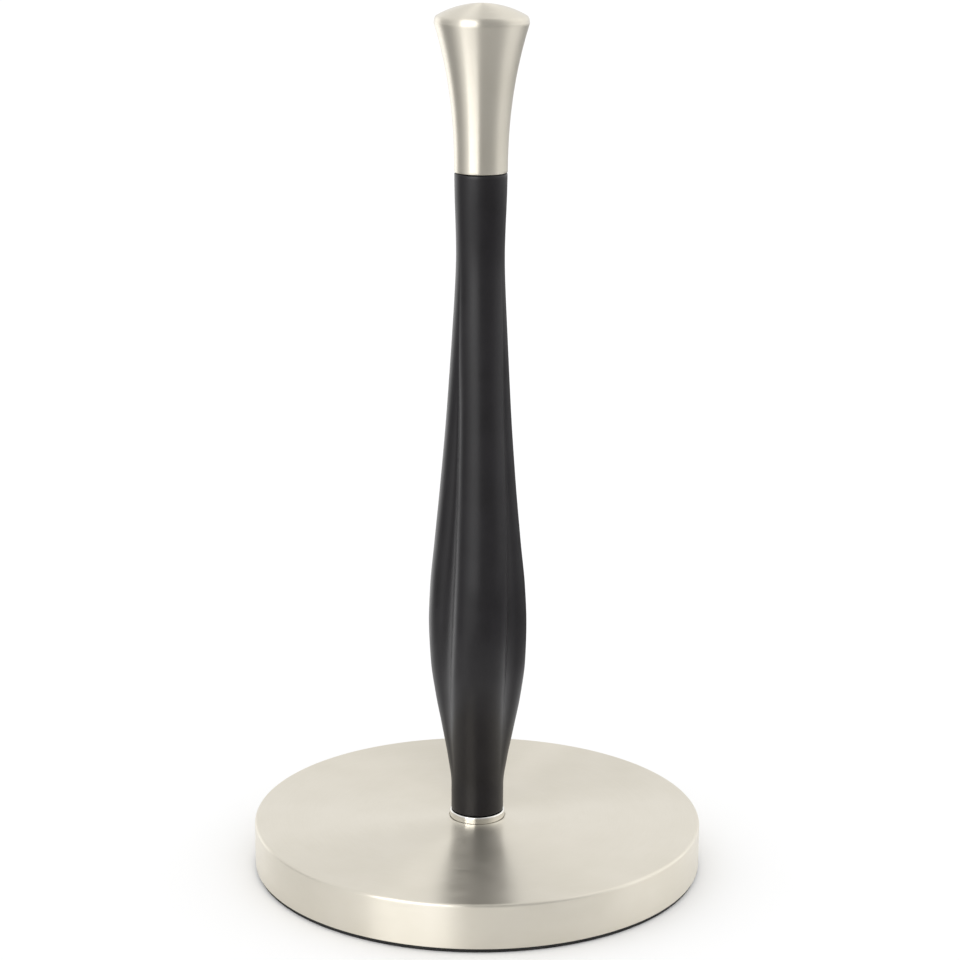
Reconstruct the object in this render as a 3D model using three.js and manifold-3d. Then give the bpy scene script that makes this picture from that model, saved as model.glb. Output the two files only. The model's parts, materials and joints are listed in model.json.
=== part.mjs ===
// Countertop paper towel holder: a weighted round base, a post with a soft three-lobed grip that turns
// against a small brake, and a flared finial. Millimetres, +Z up, origin on the floor under the post.
import * as THREE from 'three';
import { mergeVertices } from 'three/addons/utils/BufferGeometryUtils.js';
import Module from 'manifold-3d';

const wasm = await Module();
wasm.setup();

const TAU = Math.PI * 2;
const gap = 0.3;                     // clearance left between neighbouring pieces

// base: a drawn steel cap over a cast disc, closed below by a moulded cover and a rubber foot
const baseRadius = 92;
const baseHeight = 20;
const shellWall = 1;
const shellBottom = 1.7;             // height of the cap's lower edge above the floor
const shellEdgeRadius = 1.2;
const seatRadius = 11.65;            // shallow seat pressed into the cap that centres the collar
const seatDepth = 0.5;
const ballastRadius = 90;
const ballastThickness = 5.2;
const nutWellRadius = 9.5;
const nutWellDepth = 2.2;
const coverRadius = baseRadius - shellWall - gap;
const coverBottom = 2.9;
const coverThickness = 2.4;
const coverSkirtHeight = 3.7;
const coverSkirtWall = 2;
const accessRadius = 12;             // opening in the cover that gives a wrench room at the rod's nut
const accessLip = 1.5;
const footRadius = 91.2;             // shows as a dark line under the cap
const footLipHeight = 1.4;
const footShoulder = 2.6;            // height of the part that fills the cap's mouth
const footRibOuterRadius = 88;
const footInnerRadius = 78;
const footHeight = 3.4;
const footGrooveDepth = 0.8;
const footChamfer = 0.4;
const screwCount = 3;
const screwCircle = 60;
const screwStart = Math.PI / 6;
const screwShank = 1.7;
const screwHead = 3.4;
const screwHeadHeight = 2.2;
const screwWell = 3.8;               // recess in the cover that takes a screw's head
const screwBoss = 5.5;
const screwBottom = 3.2;
const screwTop = 17;

// centre rod and the fasteners at its lower end
const rodRadius = 4;
const rodBottom = 4.5;
const rodTop = 316;
const boreRadius = rodRadius + gap;
const nutAcrossFlats = 13;
const nutHeight = 5;
const flatWasherRadius = 8;
const flatWasherThickness = 1.6;
const lockWasherRadius = 7;
const lockWasherThickness = 2;
const lockWasherSplit = 0.25;        // angle left open in the split ring

// collar, hub and brake at the foot of the post
const collarRadius = 11.35;
const collarInnerRadius = 9.5;
const collarTop = 22.8;
const hubFlangeRadius = 9.2;
const hubFlangeThickness = 2.2;
const hubBossRadius = 7.4;
const hubBossHeight = 2;
const brakeRadius = 7.8;
const brakeThickness = 1.5;

// turning grip: core tube on two bushes, inside a moulded three-lobed sleeve
const bushFlangeRadius = 7.9;
const bushFlangeThickness = 1.6;
const bushSpigotRadius = 6.4;
const bushSpigotLength = 12;
const coreOuterRadius = 8;
const coreInnerRadius = 6.7;
const coreTop = 283;
const gripBore = coreOuterRadius + gap;
const gripBottom = collarTop + gap;
const lobeCount = 3;
const lobeDirection = THREE.MathUtils.degToRad(270);
const gripSides = 60;                // a multiple of six puts a vertex on every lobe and valley
const gripStep = 8.5;                // height between two rows of the sleeve's mesh
// height, distance of the lobes' centres from the axis, radius of each lobe, fillet of the valleys, and how
// many degrees the lobes are turned on from their direction
const gripStations = [
  [23.1, 0, 10.72, 12, -3],
  [34, 0, 10.75, 12, -3],
  [45, 1.7, 10.75, 12, -3],
  [58, 4.6, 10.8, 12.5, -3],
  [72, 7.7, 10.9, 13, -1.5],
  [86, 9.6, 11.1, 13, 0.5],
  [103, 10.35, 11.05, 12, 3],
  [117, 9.95, 10.82, 10.5, 4.5],
  [137, 8.25, 10.4, 8, 7],
  [163, 6.4, 9.6, 4.5, 8],
  [196, 4.3, 8.9, 2.5, 7],
  [222, 2.2, 9.15, 2, 5],
  [247, 0.6, 9.25, 2, 4],
  [262, 0, 9.72, 2, 4],
  [286.9, 0, 10.4, 2, 4],
];

// top of the post: thrust washer, spring, cup, nut, and the hollow finial on its threaded insert
const thrustRadius = 7.9;
const thrustThickness = 1.2;
const springRadius = 6.2;
const springWire = 0.7;
const springTurns = 3;
const springLength = 8.2;
const cupRadius = 8.4;
const cupThickness = 1.4;
const finialBottom = 287.2;
const finialHeight = 64.8;
const finialWall = 1;
const finialFootRadius = 10.5;
const finialRimRadius = 18.55;
const flareHeight = 57.3;
const flarePower = 2.2;
const rimBand = 0.4;
const rimTaper = 0.1;
const domeRadius = 35;
const domeEdge = 17.3;
const insertBottom = 303.5;
const insertTop = 318;

// heights that follow from the stack of pieces
const plateBottom = baseHeight - shellWall;
const seatTop = baseHeight - seatDepth;
const ballastTop = plateBottom - gap;
const ballastBottom = ballastTop - ballastThickness;
const coverTop = coverBottom + coverThickness;
const wellTop = ballastBottom + nutWellDepth;
const flatWasherBottom = wellTop - gap - flatWasherThickness;
const lockWasherTop = flatWasherBottom - gap;
const nutTop = lockWasherTop - lockWasherThickness - gap;
const hubBottom = seatTop + gap;
const hubTop = hubBottom + hubFlangeThickness + hubBossHeight;
const brakeBottom = hubTop + gap;
const lowerFlangeBottom = brakeBottom + brakeThickness + gap;
const coreBottom = lowerFlangeBottom + bushFlangeThickness + gap;
const upperFlangeBottom = coreTop + gap;
const thrustBottom = upperFlangeBottom + bushFlangeThickness + gap;
const springBottom = thrustBottom + thrustThickness + gap;
const cupBottom = springBottom + springLength + gap;
const topNutBottom = cupBottom + cupThickness + gap;
const screwAngles = Array.from({ length: screwCount }, (_, i) => screwStart + (i * TAU) / screwCount);

function finish(color, roughness, metalness) {
  return () => new THREE.MeshStandardMaterial({ color, roughness, metalness });
}

const satinSteel = finish(0xd3cfc3, 0.32, 1);
const polishedSteel = finish(0xdad7cf, 0.1, 1);
const zincSteel = finish(0xa9adb0, 0.4, 1);
const blackOxide = finish(0x2a2a2c, 0.5, 0.8);
const castIron = finish(0x55565a, 0.75, 0.6);
const alloy = finish(0xb9bbbd, 0.4, 1);
const springSteel = finish(0x8d9095, 0.35, 1);
const blackRubber = finish(0x2b2a2c, 0.62, 0);
const footRubber = finish(0x1f1f20, 0.8, 0);
const blackPlastic = finish(0x242425, 0.6, 0);
const whitePlastic = finish(0xe6e4dc, 0.5, 0);
const frictionPad = finish(0x6d5a45, 0.85, 0);

// A solid turned about +Z from [radius, height] corners. A profile that leaves the axis closes on itself.
function turned(corners, sides) {
  const points = corners.map(([radius, height]) => new THREE.Vector2(radius, height));
  if (THREE.ShapeUtils.area(points) < 0) points.reverse();
  const touchesAxis = points.filter((point) => point.x === 0).length > 1;
  if (touchesAxis) {
    while (points[0].x !== 0 || points[points.length - 1].x !== 0) points.push(points.shift());
  } else {
    points.push(points[0].clone());
  }
  return new THREE.LatheGeometry(points, sides).rotateX(Math.PI / 2);
}

function ring(innerRadius, outerRadius, bottom, top, sides) {
  return turned([
    [innerRadius, bottom],
    [outerRadius, bottom],
    [outerRadius, top],
    [innerRadius, top],
  ], sides);
}

function disc(radius, bottom, top, sides) {
  return turned([[0, bottom], [radius, bottom], [radius, top], [0, top]], sides);
}

function extruded(outline, depth, curveSegments) {
  return new THREE.ExtrudeGeometry(outline, { depth, curveSegments, bevelEnabled: false });
}

// Points of a profile arc, both ends included.
function arc(centreRadius, centreHeight, radius, start, end, steps) {
  return Array.from({ length: steps + 1 }, (_, i) => {
    const angle = start + ((end - start) * i) / steps;
    return [centreRadius + radius * Math.cos(angle), centreHeight + radius * Math.sin(angle)];
  });
}

function toSolid(geometry) {
  const bare = geometry.clone();
  bare.deleteAttribute('normal');
  bare.deleteAttribute('uv');
  const merged = mergeVertices(bare, 1e-4);
  const triVerts = Uint32Array.from(merged.index.array);
  return new wasm.Manifold(new wasm.Mesh({
    numProp: 3,
    vertProperties: Float32Array.from(merged.attributes.position.array),
    triVerts,
  }));
}

function toGeometry(solid) {
  const { vertProperties, triVerts } = solid.getMesh();
  const geometry = new THREE.BufferGeometry();
  geometry.setAttribute('position', new THREE.BufferAttribute(vertProperties, 3));
  geometry.setIndex(new THREE.BufferAttribute(triVerts, 1));
  return geometry;
}

function carve(body, tools) {
  return toGeometry(tools.reduce((solid, tool) => solid.subtract(toSolid(tool)), toSolid(body)));
}

function join(body, additions) {
  return toGeometry(additions.reduce((solid, addition) => solid.add(toSolid(addition)), toSolid(body)));
}

function atScrew(angle, geometry) {
  return geometry.translate(screwCircle * Math.cos(angle), screwCircle * Math.sin(angle), 0);
}

function baseShell() {
  const edgeRadius = baseRadius - shellEdgeRadius;
  const edgeHeight = baseHeight - shellEdgeRadius;
  const outer = arc(edgeRadius, edgeHeight, shellEdgeRadius, 0, Math.PI / 2, 5);
  const inner = arc(edgeRadius, edgeHeight, shellEdgeRadius - shellWall, Math.PI / 2, 0, 2);
  return turned([
    [baseRadius - shellWall, shellBottom],
    [baseRadius, shellBottom],
    ...outer,
    [seatRadius, baseHeight],
    [seatRadius, seatTop],
    [boreRadius + gap, seatTop],
    [boreRadius + gap, plateBottom],
    ...inner,
  ], 60);
}

function ballastDisc() {
  const chamfer = 1;
  const body = turned([
    [nutWellRadius, ballastBottom],
    [ballastRadius, ballastBottom],
    [ballastRadius, ballastTop - chamfer],
    [ballastRadius - chamfer, ballastTop],
    [boreRadius, ballastTop],
    [boreRadius, wellTop],
    [nutWellRadius, wellTop],
  ], 60);
  const pilotTop = screwTop + gap;
  const pilots = screwAngles.map((angle) =>
    atScrew(angle, disc(screwShank + gap, ballastBottom - 1, pilotTop, 12)));
  return carve(body, pilots);
}

function bottomCover() {
  const skirtTop = coverTop + coverSkirtHeight;
  const lipTop = coverTop + coverSkirtHeight - 1;
  const grooveTop = coverBottom + footGrooveDepth;
  const plate = turned([
    [accessRadius, coverBottom],
    [footInnerRadius - gap, coverBottom],
    [footInnerRadius - gap, grooveTop],
    [footRibOuterRadius + gap, grooveTop],
    [footRibOuterRadius + gap, coverBottom],
    [coverRadius, coverBottom],
    [coverRadius, skirtTop],
    [coverRadius - coverSkirtWall, skirtTop],
    [coverRadius - coverSkirtWall, coverTop],
    [accessRadius + accessLip, coverTop],
    [accessRadius + accessLip, lipTop],
    [accessRadius, lipTop],
  ], 60);
  const headRoom = screwBottom + screwHeadHeight + gap;
  const bosses = screwAngles.map((angle) =>
    atScrew(angle, disc(screwBoss, coverBottom + 1, ballastBottom - gap, 20)));
  const holes = screwAngles.map((angle) =>
    atScrew(angle, disc(screwShank + gap, coverBottom, ballastBottom + 1, 12)));
  const headWells = screwAngles.map((angle) =>
    atScrew(angle, disc(screwWell, coverBottom - 1, headRoom, 20)));
  return carve(join(plate, bosses), [...holes, ...headWells]);
}

// Broad rubber ring: a lip under the cap's edge, a shoulder inside it and a rib pressed into the groove of
// the cover.
function footRing() {
  return turned([
    [footInnerRadius + footChamfer, 0],
    [footRadius - footChamfer, 0],
    [footRadius, footChamfer],
    [footRadius, footLipHeight],
    [coverRadius, footLipHeight],
    [coverRadius, footShoulder],
    [footRibOuterRadius, footShoulder],
    [footRibOuterRadius, footHeight],
    [footInnerRadius, footHeight],
    [footInnerRadius, footChamfer],
  ], 60);
}

// Pan-head screw, head down, with a cross recess.
function coverScrew() {
  const underHead = screwBottom + screwHeadHeight;
  const body = turned([
    [0, screwBottom],
    [screwHead - 0.9, screwBottom],
    [screwHead, screwBottom + 0.9],
    [screwHead, underHead],
    [screwShank, underHead],
    [screwShank, screwTop - 1.5],
    [0, screwTop],
  ], 16);
  const slots = [0, Math.PI / 2].map((turn) =>
    new THREE.BoxGeometry(3.4, 0.8, 2.4).rotateZ(turn).translate(0, 0, screwBottom));
  return carve(body, slots);
}

function hexNut(bottom, height) {
  const corner = nutAcrossFlats / 2 / Math.cos(Math.PI / 6);
  const outline = new THREE.Shape(
    Array.from({ length: 6 }, (_, i) => {
      const angle = (i * TAU) / 6;
      return new THREE.Vector2(corner * Math.cos(angle), corner * Math.sin(angle));
    }),
  );
  outline.holes.push(new THREE.Path().absarc(0, 0, boreRadius, 0, TAU, true));
  return extruded(outline, height, 24).translate(0, 0, bottom);
}

function splitWasher() {
  const start = lockWasherSplit / 2;
  const end = TAU - start;
  const outline = new THREE.Shape()
    .absarc(0, 0, lockWasherRadius, start, end, false)
    .absarc(0, 0, boreRadius, end, start, true);
  return extruded(outline, lockWasherThickness, 16).translate(0, 0, lockWasherTop - lockWasherThickness);
}

function rod() {
  const chamfer = 0.8;
  return turned([
    [0, rodBottom],
    [rodRadius - chamfer, rodBottom],
    [rodRadius, rodBottom + chamfer],
    [rodRadius, rodTop - chamfer],
    [rodRadius - chamfer, rodTop],
    [0, rodTop],
  ], 24);
}

function baseHub() {
  const flangeTop = hubBottom + hubFlangeThickness;
  return turned([
    [boreRadius, hubBottom],
    [hubFlangeRadius, hubBottom],
    [hubFlangeRadius, flangeTop],
    [hubBossRadius, flangeTop],
    [hubBossRadius, hubTop],
    [boreRadius, hubTop],
  ], 32);
}

function collar() {
  const lip = 0.6;
  return turned([
    [collarInnerRadius, hubBottom],
    [collarRadius - 0.2, hubBottom],
    [collarRadius, hubBottom + 0.4],
    [collarRadius, collarTop - lip],
    ...arc(collarRadius - lip, collarTop - lip, lip, 0, Math.PI / 2, 3),
    [collarInnerRadius, collarTop],
  ], 48);
}

// Flanged bush. The spigot goes into the core tube: up from the lower flange, down from the upper one.
function bush(flangeBottom, spigotUp) {
  const flangeTop = flangeBottom + bushFlangeThickness;
  const shoulder = spigotUp ? flangeTop : flangeBottom;
  const back = spigotUp ? flangeBottom : flangeTop;
  const spigotEnd = spigotUp ? shoulder + bushSpigotLength : shoulder - bushSpigotLength;
  return turned([
    [boreRadius, back],
    [bushFlangeRadius, back],
    [bushFlangeRadius, shoulder],
    [bushSpigotRadius, shoulder],
    [bushSpigotRadius, spigotEnd],
    [boreRadius, spigotEnd],
  ], 28);
}

// Smooth value between stations, without overshoot: a cubic with harmonic-mean slopes at the stations.
function stationValue(stations, column, height) {
  const rise = (i) => (stations[i + 1][column] - stations[i][column]) / (stations[i + 1][0] - stations[i][0]);
  const slope = (i) => {
    if (i === 0 || i === stations.length - 1) return 0;
    const product = rise(i - 1) * rise(i);
    return product > 0 ? (2 * product) / (rise(i - 1) + rise(i)) : 0;
  };
  const last = stations.length - 2;
  const i = Math.min(last, Math.max(0, stations.findIndex((station) => station[0] > height) - 1));
  const span = stations[i + 1][0] - stations[i][0];
  const t = Math.min(1, Math.max(0, (height - stations[i][0]) / span));
  const start = stations[i][column];
  const end = stations[i + 1][column];
  return (
    start * (1 + 2 * t) * (1 - t) ** 2 +
    end * (3 - 2 * t) * t ** 2 +
    slope(i) * span * t * (1 - t) ** 2 -
    slope(i + 1) * span * t ** 2 * (1 - t)
  );
}

// Radius of the grip's section: equal circles set round the axis, each valley between two filled by an arc.
function gripRadius(angle, offset, lobe, valley) {
  const halfSector = TAU / lobeCount / 2;
  const fromLobe = Math.abs(angle - 2 * halfSector * Math.round(angle / (2 * halfSector)));
  const toValley = halfSector - fromLobe;
  const reach = Math.sqrt((lobe + valley) ** 2 - (offset * Math.sin(halfSector)) ** 2);
  const valleyCentre = offset * Math.cos(halfSector) + reach;
  const share = lobe / (lobe + valley);
  const tangentX = offset + share * (valleyCentre * Math.cos(halfSector) - offset);
  const tangentY = share * valleyCentre * Math.sin(halfSector);
  if (fromLobe < Math.atan2(tangentY, tangentX)) {
    return offset * Math.cos(fromLobe) + Math.sqrt(lobe ** 2 - (offset * Math.sin(fromLobe)) ** 2);
  }
  const chord = Math.sqrt(valley ** 2 - (valleyCentre * Math.sin(toValley)) ** 2);
  return valleyCentre * Math.cos(toValley) - chord;
}

function gripSleeve() {
  const gripTop = finialBottom - gap;
  const gripLength = gripTop - gripBottom;
  const rows = Math.round(gripLength / gripStep);
  const heights = Array.from({ length: rows + 1 }, (_, i) => gripBottom + (gripLength * i) / rows);
  const loops = heights.map((height) => {
    const [twist, ...section] = [4, 1, 2, 3].map((column) => stationValue(gripStations, column, height));
    const turn = lobeDirection + THREE.MathUtils.degToRad(twist);
    return { turn, radiusAt: (angle) => gripRadius(angle, ...section), height };
  });
  for (const end of [loops[rows], loops[0]]) loops.push({ ...end, radiusAt: () => gripBore });
  const positions = [];
  for (const loop of loops) {
    for (let side = 0; side < gripSides; side += 1) {
      const angle = (side * TAU) / gripSides;
      const radius = loop.radiusAt(angle);
      positions.push(radius * Math.cos(loop.turn + angle), radius * Math.sin(loop.turn + angle), loop.height);
    }
  }
  const index = [];
  for (let row = 0; row < loops.length; row += 1) {
    const lower = row * gripSides;
    const upper = ((row + 1) % loops.length) * gripSides;
    for (let side = 0; side < gripSides; side += 1) {
      const next = (side + 1) % gripSides;
      index.push(lower + side, lower + next, upper + next);
      index.push(lower + side, upper + next, upper + side);
    }
  }
  const geometry = new THREE.BufferGeometry();
  geometry.setAttribute('position', new THREE.Float32BufferAttribute(positions, 3));
  geometry.setIndex(index);
  return geometry;
}

class Helix extends THREE.Curve {
  getPoint(t, target = new THREE.Vector3()) {
    const angle = t * springTurns * TAU;
    const travel = springLength - 2 * springWire;
    const height = springBottom + springWire + travel * t;
    return target.set(springRadius * Math.cos(angle), springRadius * Math.sin(angle), height);
  }
}

function tensionSpring() {
  const section = new THREE.Shape().absarc(0, 0, springWire, 0, TAU, false);
  return new THREE.ExtrudeGeometry(section, {
    extrudePath: new Helix(),
    steps: springTurns * 16,
    curveSegments: 4,
    bevelEnabled: false,
  });
}

function flareRadius(height) {
  const share = (height - finialBottom) / flareHeight;
  return finialFootRadius + (finialRimRadius - finialFootRadius) * share ** flarePower;
}

function flare(from, to, inset, steps) {
  return Array.from({ length: steps + 1 }, (_, i) => {
    const height = from + ((to - from) * i) / steps;
    return [flareRadius(height) - inset, height];
  });
}

// Shallow dome from the edge in to the axis.
function dome(radius, edge, steps) {
  const centre = finialBottom + finialHeight - domeRadius;
  const points = Array.from({ length: steps }, (_, i) => {
    const r = edge * (1 - i / steps);
    return [r, centre + Math.sqrt(radius ** 2 - r ** 2)];
  });
  return [...points, [0, centre + radius]];
}

function finialShell() {
  const rimBottom = finialBottom + flareHeight;
  const bandTop = new THREE.Vector2(finialRimRadius - rimTaper, rimBottom + rimBand);
  const outerDome = dome(domeRadius, domeEdge, 6);
  const domeStart = new THREE.Vector2(...outerDome[0]);
  const corner = new THREE.Vector2(bandTop.x - 0.1, domeStart.y - 0.4);
  const rimEdge = new THREE.QuadraticBezierCurve(bandTop, corner, domeStart).getPoints(4);
  const innerDome = dome(domeRadius - finialWall, domeEdge - finialWall, 4).reverse();
  return turned([
    ...flare(finialBottom, rimBottom, 0, 10),
    ...rimEdge.map((point) => [point.x, point.y]),
    ...outerDome.slice(1),
    ...innerDome,
    ...flare(rimBottom - finialWall, finialBottom, finialWall, 6),
  ], 36);
}

function finialInsert() {
  return turned([
    ...flare(insertBottom, insertTop, finialWall + gap, 3),
    [boreRadius, insertTop],
    [boreRadius, insertBottom],
  ], 32);
}

const holder = new THREE.Group();

function place(name, geometry, material) {
  const mesh = new THREE.Mesh(geometry, material());
  mesh.name = name;
  holder.add(mesh);
}

// A washer on the rod: a plain ring from its underside up.
function placeWasher(name, radius, bottom, thickness, material) {
  place(name, ring(boreRadius, radius, bottom, bottom + thickness, 28), material);
}

place('base_shell', baseShell(), satinSteel);
place('ballast_disc', ballastDisc(), castIron);
place('bottom_cover', bottomCover(), blackPlastic);
place('foot_ring', footRing(), footRubber);
screwAngles.forEach((angle, i) => place(`cover_screw_${i + 1}`, atScrew(angle, coverScrew()), blackOxide));

place('rod', rod(), zincSteel);
place('rod_nut', hexNut(nutTop - nutHeight, nutHeight), zincSteel);
place('rod_lock_washer', splitWasher(), zincSteel);
placeWasher('rod_flat_washer', flatWasherRadius, flatWasherBottom, flatWasherThickness, zincSteel);

place('base_hub', baseHub(), zincSteel);
place('collar', collar(), polishedSteel);
placeWasher('brake_disc', brakeRadius, brakeBottom, brakeThickness, frictionPad);

place('lower_bush', bush(lowerFlangeBottom, true), whitePlastic);
place('core_tube', ring(coreInnerRadius, coreOuterRadius, coreBottom, coreTop, 32), alloy);
place('grip_sleeve', gripSleeve(), blackRubber);
place('upper_bush', bush(upperFlangeBottom, false), whitePlastic);

placeWasher('thrust_washer', thrustRadius, thrustBottom, thrustThickness, springSteel);
place('tension_spring', tensionSpring(), springSteel);
placeWasher('spring_cup', cupRadius, cupBottom, cupThickness, zincSteel);
place('tension_nut', hexNut(topNutBottom, nutHeight), zincSteel);
place('finial_shell', finialShell(), satinSteel);
place('finial_insert', finialInsert(), zincSteel);

export default holder;
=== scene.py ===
"""The look of a countertop paper towel holder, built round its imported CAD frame.

Metres, Z up, floor at Z = 0, the post on the Z axis. Each piece is a fine mesh that stands for one CAD node
and rides on that node's body.
"""

import json
import math

import bmesh
import bpy
from mathutils import Matrix, Vector


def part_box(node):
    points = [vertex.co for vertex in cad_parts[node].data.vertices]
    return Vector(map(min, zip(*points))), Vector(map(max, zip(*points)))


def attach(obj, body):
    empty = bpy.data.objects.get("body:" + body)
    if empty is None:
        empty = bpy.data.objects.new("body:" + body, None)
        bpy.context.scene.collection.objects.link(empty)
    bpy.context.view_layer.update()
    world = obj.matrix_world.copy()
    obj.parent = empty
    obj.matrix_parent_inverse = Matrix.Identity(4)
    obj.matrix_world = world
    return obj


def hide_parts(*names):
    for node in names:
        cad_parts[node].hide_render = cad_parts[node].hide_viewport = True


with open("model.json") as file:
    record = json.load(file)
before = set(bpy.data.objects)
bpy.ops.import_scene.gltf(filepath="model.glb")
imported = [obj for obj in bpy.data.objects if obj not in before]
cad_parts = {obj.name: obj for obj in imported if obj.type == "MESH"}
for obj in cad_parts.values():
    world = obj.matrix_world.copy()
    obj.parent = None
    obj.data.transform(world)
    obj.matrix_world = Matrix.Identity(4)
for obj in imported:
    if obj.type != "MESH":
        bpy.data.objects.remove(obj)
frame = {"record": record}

MM = 0.001
TAU = 2 * math.pi
ON_AXIS = 1e-9  # a radius below this is a point on the axis
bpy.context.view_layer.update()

# ---------------------------------------------------------------- camera

CAMERA_DISTANCE = 0.981
CAMERA_HEIGHT = 0.4156
CAMERA_PITCH = math.radians(14.42)
CAMERA_YAW = math.radians(-0.02)
CAMERA_ROLL = math.radians(0.34)
CAMERA_LENS = 94.6


def make_camera():
    data = bpy.data.cameras.new("camera")
    data.sensor_width = 36
    data.lens = CAMERA_LENS
    data.clip_start = 0.01
    data.clip_end = 100
    camera = bpy.data.objects.new("camera", data)
    bpy.context.scene.collection.objects.link(camera)
    place = Matrix.Translation((0, -CAMERA_DISTANCE, CAMERA_HEIGHT))
    turn = Matrix.Rotation(CAMERA_YAW, 4, "Z")
    tilt = Matrix.Rotation(math.pi / 2 - CAMERA_PITCH, 4, "X")
    roll = Matrix.Rotation(CAMERA_ROLL, 4, "Z")
    camera.matrix_world = place @ turn @ tilt @ roll
    bpy.context.scene.camera = camera


make_camera()

# ---------------------------------------------------------------- mesh helpers

SHARP_ANGLE = math.radians(32)
GUARD_SHARE = 0.4  # of a fillet: how far a guard point stands outside the fillet's arc
GUARD_ROOM = 3  # how many of those distances a straight stretch needs to get a guard point


def make_object(name, bm):
    """A smooth-shaded object from a bmesh, with its faces turned outwards."""
    bmesh.ops.recalc_face_normals(bm, faces=bm.faces)
    mesh = bpy.data.meshes.new(name)
    bm.to_mesh(mesh)
    bm.free()
    mesh.shade_smooth()
    mesh.set_sharp_from_angle(angle=SHARP_ANGLE)
    made = bpy.data.objects.new(name, mesh)
    bpy.context.scene.collection.objects.link(made)
    return made


def skin(name, rings, loop=False, cap=False):
    """A body from rings of points, each joined to the next. A ring of one point is a pole.

    Two poles in a row, as where a dome's inside follows its outside, aren't joined. loop joins the last ring
    to the first, and cap closes the first and last ring with a face each.
    """
    bm = bmesh.new()
    rows = [[bm.verts.new(point) for point in ring] for ring in rings]
    for low, high in zip(rows, rows[1:] + (rows[:1] if loop else [])):
        if len(low) == len(high) == 1:
            continue
        for i in range(max(len(low), len(high))):
            j = i + 1
            corners = [low[i % len(low)], low[j % len(low)], high[j % len(high)], high[i % len(high)]]
            bm.faces.new(list(dict.fromkeys(corners)))
    if cap:
        bm.faces.new(rows[0])
        bm.faces.new(rows[-1])
    return make_object(name, bm)


def polar(radius, angle, height):
    return (radius * math.cos(angle), radius * math.sin(angle), height)


def circle(radius, height, sides, centre=(0, 0)):
    if radius < ON_AXIS:
        return [(centre[0], centre[1], height)]
    steps = [TAU * i / sides for i in range(sides)]
    return [(centre[0] + radius * math.cos(a), centre[1] + radius * math.sin(a), height) for a in steps]


def softened(corners, steps=6):
    """Profile points from (radius, height, fillet) corners, with each fillet as an arc.

    A guard point just outside each arc keeps the shading of the straight stretch beside it flat.
    """
    points = []
    count = len(corners)
    for i, (radius, height, fillet) in enumerate(corners):
        here = Vector((radius, height))
        if not fillet:
            points.append(tuple(here))
            continue
        before = Vector(corners[i - 1][:2]) - here
        after = Vector(corners[(i + 1) % count][:2]) - here
        half = before.angle(after) / 2
        reach = fillet / math.tan(half)
        into = before.normalized()
        out = after.normalized()
        centre = here + (into + out).normalized() * fillet / math.sin(half)
        start = here + into * reach - centre
        end = here + out * reach - centre
        guard = GUARD_SHARE * fillet
        if before.length > reach + GUARD_ROOM * guard:
            points.append(tuple(here + into * (reach + guard)))
        for step in range(steps + 1):
            points.append(tuple(centre + fillet * start.slerp(end, step / steps)))
        if after.length > reach + GUARD_ROOM * guard:
            points.append(tuple(here + out * (reach + guard)))
    return points


def turned(name, profile, sides, centre=(0, 0)):
    """A body turned about a vertical axis from (radius, height) points."""
    on_axis = profile[0][0] < ON_AXIS
    rings = [circle(radius, height, sides, centre) for radius, height in profile]
    return skin(name, rings, loop=not on_axis)


def plain_section(inner, outer, bottom, top, edge, steps=3):
    """Rectangular profile with softened edges."""
    return softened([
        (inner, bottom, edge),
        (outer, bottom, edge),
        (outer, top, edge),
        (inner, top, edge),
    ], steps)


def cylinder(radius, bottom, top, sides, centre):
    """A boss, or a cutter for a hole."""
    return turned("cylinder", [(0, bottom), (radius, bottom), (radius, top), (0, top)], sides, centre)


def combine(body, others, operation):
    """Joins the other bodies to the first one, or cuts them from it, and removes them."""
    for other in others:
        step = body.modifiers.new("combine", "BOOLEAN")
        step.operation = operation
        step.solver = "EXACT"
        step.object = other
        bpy.context.view_layer.update()
        graph = bpy.context.evaluated_depsgraph_get()
        mesh = bpy.data.meshes.new_from_object(body.evaluated_get(graph))
        body.modifiers.clear()
        body.data = mesh
        bpy.data.objects.remove(other)
    body.data.shade_smooth()
    body.data.set_sharp_from_angle(angle=SHARP_ANGLE)
    return body


def threaded_rings(radius, depth, bottom, top, pitch, sides):
    """Rings of a V-shaped screw thread that climbs one pitch each turn and fades out at both ends."""
    rows_per_turn = 8
    rows = round((top - bottom) / pitch * rows_per_turn)
    rings = []
    for row in range(rows + 1):
        height = bottom + (top - bottom) * row / rows
        fade = min(1, (height - bottom) / pitch, (top - height) / pitch)
        ring = []
        for i in range(sides):
            angle = TAU * i / sides
            phase = (height / pitch - angle / TAU) % 1
            groove = abs(2 * phase - 1) * depth * fade
            ring.append(polar(radius - groove, angle, height))
        rings.append(ring)
    return rings


def extent(node):
    """Outer radius, bottom and top of a CAD node that is set round the Z axis."""
    low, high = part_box(node)
    return high.x, low.z, high.z


# ---------------------------------------------------------------- base

FINE = 288  # sides of the widest round pieces
MEDIUM = 192  # sides of the other large or visible ones
SMALL = 96  # sides of the small ones round the rod
BORE = 4.3 * MM  # radius of the holes round the rod, apart from the shell's
PAST = 1 * MM  # how far a cutter reaches past the face that it cuts
SHELL_WALL = 1.0 * MM
SHELL_EDGE = 1.2 * MM
SEAT_RADIUS = 11.65 * MM
SEAT_DEPTH = 0.5 * MM
SHELL_HOLE = 4.6 * MM
FOOT_INNER = 78 * MM
FOOT_RIB = 88 * MM
SCREW_HOLE = 2 * MM
SCREW_CIRCLE = 60 * MM
SCREW_ANGLES = [math.radians(30 + 120 * i) for i in range(3)]


def at_screws():
    return [(SCREW_CIRCLE * math.cos(a), SCREW_CIRCLE * math.sin(a)) for a in SCREW_ANGLES]


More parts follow.
